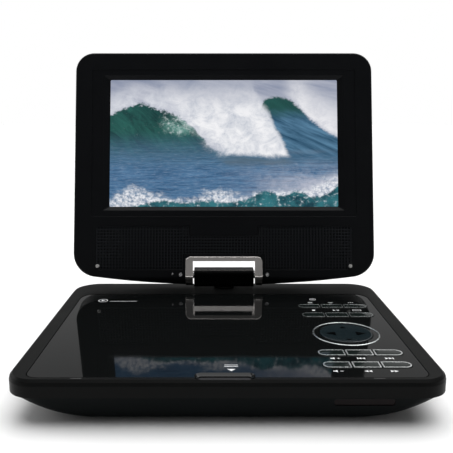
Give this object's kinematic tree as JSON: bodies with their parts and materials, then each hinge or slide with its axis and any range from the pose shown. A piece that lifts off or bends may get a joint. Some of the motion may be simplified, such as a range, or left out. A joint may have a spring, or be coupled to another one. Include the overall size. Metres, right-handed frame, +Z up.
{
  "type": "portable dvd player",
  "caption": "Portable disc player: flat base with a glossy disc door and bar keys, and a widescreen lid on a tilt-and-swivel hinge.",
  "frame": {"origin": "centre of the open player's footprint box, on the surface its feet stand on", "axes": "+X to the right as the user sees it, +Y away from the user, +Z up"},
  "size_m": [0.2023, 0.1938, 0.1795],
  "materials": {
    "case_black": "satin",
    "tub_black": "fine matt grain",
    "bezel_black": "satin",
    "grille_black": "matt",
    "door_gloss": "mirror gloss",
    "hinge_gloss": "gloss",
    "key_gloss": "gloss",
    "inner_plastic": "matt",
    "chrome": "polished",
    "steel": "bright",
    "black_steel": "matt",
    "aluminium": "pressed",
    "rubber_black": "matt",
    "rubber_grey": "matt",
    "circuit_green": "solder resist",
    "chip_black": "matt",
    "battery_wrap": "shrink film",
    "gear_white": "acetal",
    "hub_plastic": "matt",
    "lens_clear": "coated",
    "window_dark": "infra-red pass",
    "screen": "lit picture under glossy film",
    "cone_paper": "paper cone"
  },
  "bodies": {
    "base": {"top_case": "case_black", "bottom_case": "tub_black", "remote_window": "window_dark", "foot_front_left": "rubber_black", "foot_front_right": "rubber_black", "foot_rear_left": "rubber_black", "foot_rear_right": "rubber_black", "battery_cover": "tub_black", "battery_pack": "battery_wrap", "main_board": "circuit_green", "decoder_chip": "chip_black", "headphone_jack": "inner_plastic", "av_jack": "inner_plastic", "dc_inlet": "inner_plastic", "power_switch_body": "inner_plastic", "latch_catch": "steel", "case_screws": "steel", "drive_chassis": "black_steel", "spindle_motor": "aluminium", "guide_rods": "steel", "sled_motor": "aluminium"},
    "power_knob": {"power_slider": "inner_plastic"},
    "swivel": {"swivel_disc": "inner_plastic", "swivel_retainer": "steel", "hinge_block": "hinge_gloss", "tilt_shafts": "steel"},
    "lid": {"lid_bezel": "bezel_black", "lid_back_cover": "case_black", "speaker_grille": "grille_black", "lcd_glass": "screen", "lcd_frame": "inner_plastic", "lcd_driver_board": "circuit_green", "speaker_left": "cone_paper", "speaker_right": "cone_paper", "chrome_trim": "chrome", "lid_bumpers": "rubber_grey", "lid_screws": "steel", "lid_hinge_brackets": "aluminium"},
    "door": {"door_panel": "door_gloss", "door_frame": "inner_plastic", "door_pins": "steel", "key_board": "circuit_green"},
    "disc_spindle": {"disc_hub": "hub_plastic"},
    "pickup": {"optical_pickup": "aluminium"},
    "lens": {"objective_lens": "lens_clear"},
    "gear": {"sled_gear": "gear_white"},
    "pinion": {"motor_pinion": "gear_white"},
    "nav_button": {"nav_pad": "key_gloss"},
    "button_menu": {"key_menu": "key_gloss"},
    "button_title": {"key_title": "key_gloss"},
    "button_setup": {"key_setup": "key_gloss"},
    "button_stop": {"key_stop": "key_gloss"},
    "button_play": {"key_play": "key_gloss"},
    "button_screen": {"key_screen": "key_gloss"},
    "button_volume_up": {"key_volume_up": "key_gloss"},
    "button_previous": {"key_previous": "key_gloss"},
    "button_next": {"key_next": "key_gloss"},
    "button_volume_down": {"key_volume_down": "key_gloss"},
    "button_rewind": {"key_rewind": "key_gloss"},
    "button_forward": {"key_forward": "key_gloss"}
  },
  "joints": [
    {"name": "screen_swivel", "type": "hinge", "parent": "base", "child": "swivel", "pos_m": [0, 0.05394, 0.023], "axis": [0, 0, 1], "range_deg": [-180, 0]},
    {"name": "lid_tilt", "type": "hinge", "parent": "swivel", "child": "lid", "pos_m": [0, 0.05394, 0.0315], "axis": [-1, 0, 0], "range_deg": [-104, 76]},
    {"name": "disc_door", "type": "hinge", "parent": "base", "child": "door", "pos_m": [0, 0.03464, 0.0217], "axis": [-1, 0, 0], "range_deg": [0, 52]},
    {"name": "disc_spin", "type": "hinge", "parent": "base", "child": "disc_spindle", "pos_m": [-0.022, -0.02926, 0.015], "axis": [0, 0, 1], "continuous": true},
    {"name": "pickup_slide", "type": "slide", "parent": "base", "child": "pickup", "axis": [1, 0, 0], "range_m": [0, 0.033]},
    {"name": "lens_focus", "type": "slide", "parent": "pickup", "child": "lens", "axis": [0, 0, 1], "range_m": [-0.0006, 0.0006], "stiffness_N_per_m": 60},
    {"name": "sled_gear_turn", "type": "hinge", "parent": "base", "child": "gear", "pos_m": [0.028, -0.05276, 0.011], "axis": [0, 0, 1], "continuous": true},
    {"name": "motor_pinion_turn", "type": "hinge", "parent": "base", "child": "pinion", "pos_m": [0.01804, -0.05851, 0.011], "axis": [0, 0, 1], "continuous": true},
    {"name": "power_slide", "type": "slide", "parent": "base", "child": "power_knob", "axis": [0, 1, 0], "range_m": [0, 0.003]},
    {"name": "press_menu", "type": "slide", "parent": "door", "child": "button_menu", "axis": [0, 0, -1], "range_m": [0, 0.0006], "stiffness_N_per_m": 700, "springref_m": -0.0004},
    {"name": "press_title", "type": "slide", "parent": "door", "child": "button_title", "axis": [0, 0, -1], "range_m": [0, 0.0006], "stiffness_N_per_m": 700, "springref_m": -0.0004},
    {"name": "press_setup", "type": "slide", "parent": "door", "child": "button_setup", "axis": [0, 0, -1], "range_m": [0, 0.0006], "stiffness_N_per_m": 700, "springref_m": -0.0004},
    {"name": "press_stop", "type": "slide", "parent": "door", "child": "button_stop", "axis": [0, 0, -1], "range_m": [0, 0.0006], "stiffness_N_per_m": 700, "springref_m": -0.0004},
    {"name": "press_play", "type": "slide", "parent": "door", "child": "button_play", "axis": [0, 0, -1], "range_m": [0, 0.0006], "stiffness_N_per_m": 700, "springref_m": -0.0004},
    {"name": "press_screen", "type": "slide", "parent": "door", "child": "button_screen", "axis": [0, 0, -1], "range_m": [0, 0.0006], "stiffness_N_per_m": 700, "springref_m": -0.0004},
    {"name": "press_volume_up", "type": "slide", "parent": "door", "child": "button_volume_up", "axis": [0, 0, -1], "range_m": [0, 0.0006], "stiffness_N_per_m": 700, "springref_m": -0.0004},
    {"name": "press_previous", "type": "slide", "parent": "door", "child": "button_previous", "axis": [0, 0, -1], "range_m": [0, 0.0006], "stiffness_N_per_m": 700, "springref_m": -0.0004},
    {"name": "press_next", "type": "slide", "parent": "door", "child": "button_next", "axis": [0, 0, -1], "range_m": [0, 0.0006], "stiffness_N_per_m": 700, "springref_m": -0.0004},
    {"name": "press_volume_down", "type": "slide", "parent": "door", "child": "button_volume_down", "axis": [0, 0, -1], "range_m": [0, 0.0006], "stiffness_N_per_m": 700, "springref_m": -0.0004},
    {"name": "press_rewind", "type": "slide", "parent": "door", "child": "button_rewind", "axis": [0, 0, -1], "range_m": [0, 0.0006], "stiffness_N_per_m": 700, "springref_m": -0.0004},
    {"name": "press_forward", "type": "slide", "parent": "door", "child": "button_forward", "axis": [0, 0, -1], "range_m": [0, 0.0006], "stiffness_N_per_m": 700, "springref_m": -0.0004},
    {"name": "press_nav", "type": "slide", "parent": "door", "child": "nav_button", "axis": [0, 0, -1], "range_m": [0, 0.0006], "stiffness_N_per_m": 900, "springref_m": -0.0004}
  ],
  "couplings": [
    {"joint": "sled_gear_turn", "follows": "pickup_slide", "rad_per_m": -285.71},
    {"joint": "motor_pinion_turn", "follows": "pickup_slide", "rad_per_m": 1028.6}
  ]
}
